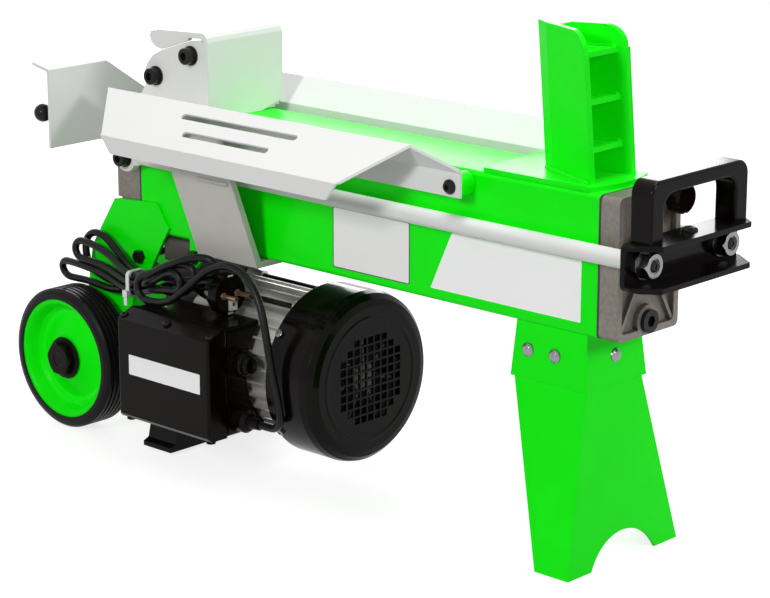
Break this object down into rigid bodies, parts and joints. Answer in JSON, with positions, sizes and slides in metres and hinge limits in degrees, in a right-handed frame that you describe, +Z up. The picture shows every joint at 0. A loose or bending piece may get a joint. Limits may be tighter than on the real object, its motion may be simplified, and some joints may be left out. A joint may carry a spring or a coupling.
{
  "type": "horizontal electric log splitter",
  "caption": "Horizontal electric log splitter: pusher on pull rods driven by a cylinder inside the beam, fixed wedge, side tables, wheels, leg, motor and pump below.",
  "frame": {"origin": "on the floor, under the middle of the machine measured without its cord", "axes": "+X along the beam from the pusher to the wedge and handle, +Z up, -Y the side of the control box and the lever knob"},
  "size_m": [0.8544, 0.2824, 0.497],
  "materials": {
    "green_paint": "vivid green gloss paint",
    "white_paint": "off-white powder coat, fine satin",
    "black_paint": "black gloss paint",
    "cast_alloy": "raw cast aluminium, matt",
    "pump_casting": "dark machined casting",
    "machined_steel": "turned and ground steel",
    "zinc_steel": "zinc plated fastener",
    "black_steel": "black oxide fastener",
    "stator_alloy": "extruded aluminium, satin",
    "gasket_rubber": "black oil proof gasket",
    "bush_brass": "turned bronze bush",
    "black_plastic": "black moulded plastic, semi-gloss",
    "green_plastic": "green moulded plastic",
    "tyre_rubber": "solid black rubber",
    "cord_rubber": "black rubber sheath",
    "tie_nylon": "natural white nylon",
    "chromed_rod": "hard chromed rod"
  },
  "bodies": {
    "frame": {"oil_tank_beam": "green_paint", "end_gaskets": "gasket_rubber", "front_end_cap": "cast_alloy", "rear_end_cap": "cast_alloy", "tie_bolts": "black_steel", "cylinder_tube": "machined_steel", "rod_guide": "bush_brass", "oil_plug": "black_steel", "wedge_base": "green_paint", "splitting_wedge": "green_paint", "side_table_far": "white_paint", "side_table_near": "white_paint", "table_strap": "white_paint", "leg_socket": "green_paint", "support_leg": "green_paint", "leg_screws": "zinc_steel", "axle_bracket": "green_paint", "wheel_axle": "zinc_steel", "hub_caps": "black_plastic", "fan_cover": "black_paint", "stator_housing": "stator_alloy", "motor_end_bells": "stator_alloy", "motor_bearings": "machined_steel", "motor_studs": "black_steel", "pump_housing": "pump_casting", "motor_foot": "black_paint", "control_box_base": "black_plastic", "control_box_cover": "black_plastic", "cord_gland": "black_plastic", "lever_guard": "white_paint", "frame_bolts": "black_steel", "mains_cord": "cord_rubber", "cord_hank": "cord_rubber", "cord_tie": "tie_nylon", "mains_plug": "black_plastic"},
    "ram": {"piston": "machined_steel", "piston_seal": "gasket_rubber", "piston_rod": "chromed_rod", "crosshead": "black_paint", "carry_handle": "black_paint", "crosshead_fasteners": "black_steel", "pull_rods": "white_paint", "rod_nuts": "zinc_steel", "pusher_face": "white_paint", "pusher_sides": "white_paint", "pusher_shoe": "white_paint", "pusher_spacers": "zinc_steel", "pusher_bolts": "black_steel"},
    "wheel_near": {"tyre_near": "tyre_rubber", "rim_near": "green_plastic"},
    "wheel_far": {"tyre_far": "tyre_rubber", "rim_far": "green_plastic"},
    "motor_rotor": {"rotor": "machined_steel", "cooling_fan": "black_plastic", "drive_gear": "machined_steel"},
    "pump_driven_gear": {"driven_gear": "machined_steel"},
    "lever": {"control_lever": "black_steel"},
    "spool": {"valve_spool": "machined_steel"},
    "button": {"start_button": "black_plastic"},
    "bleed_screw": {"bleed_knob": "black_plastic"}
  },
  "joints": [
    {"name": "ram_slide", "type": "slide", "parent": "frame", "child": "ram", "axis": [1, 0, 0], "range_m": [0, 0.35], "stiffness_N_per_m": 150, "springref_m": -0.1},
    {"name": "wheel_near_spin", "type": "hinge", "parent": "frame", "child": "wheel_near", "pos_m": [-0.35075, -0.086, 0.0765], "axis": [0, 1, 0], "continuous": true},
    {"name": "wheel_far_spin", "type": "hinge", "parent": "frame", "child": "wheel_far", "pos_m": [-0.35075, 0.086, 0.0765], "axis": [0, 1, 0], "continuous": true},
    {"name": "rotor_spin", "type": "hinge", "parent": "frame", "child": "motor_rotor", "pos_m": [-0.1, 0, 0.109], "axis": [1, 0, 0], "continuous": true},
    {"name": "driven_gear_spin", "type": "hinge", "parent": "frame", "child": "pump_driven_gear", "pos_m": [-0.212, 0, 0.134], "axis": [1, 0, 0], "continuous": true},
    {"name": "lever_hinge", "type": "hinge", "parent": "frame", "child": "lever", "pos_m": [-0.3162, 0.012, 0.354], "axis": [1, 0, 0], "range_deg": [0, 8], "stiffness_Nm_per_rad": 1.5, "springref_deg": -11.46},
    {"name": "spool_slide", "type": "slide", "parent": "frame", "child": "spool", "axis": [0, 0, 1], "range_m": [-0.0048, 0]},
    {"name": "button_slide", "type": "slide", "parent": "frame", "child": "button", "axis": [-1, 0, 0], "range_m": [0, 0.003], "stiffness_N_per_m": 400, "springref_m": -0.002},
    {"name": "bleed_turn", "type": "hinge", "parent": "frame", "child": "bleed_screw", "pos_m": [0.36325, 0.03, 0.3475], "axis": [1, 0, 0], "range_deg": [0, 360]}
  ],
  "couplings": [
    {"joint": "driven_gear_spin", "follows": "rotor_spin", "ratio": -1},
    {"joint": "spool_slide", "follows": "lever_hinge", "m_per_rad": -0.0335}
  ]
}
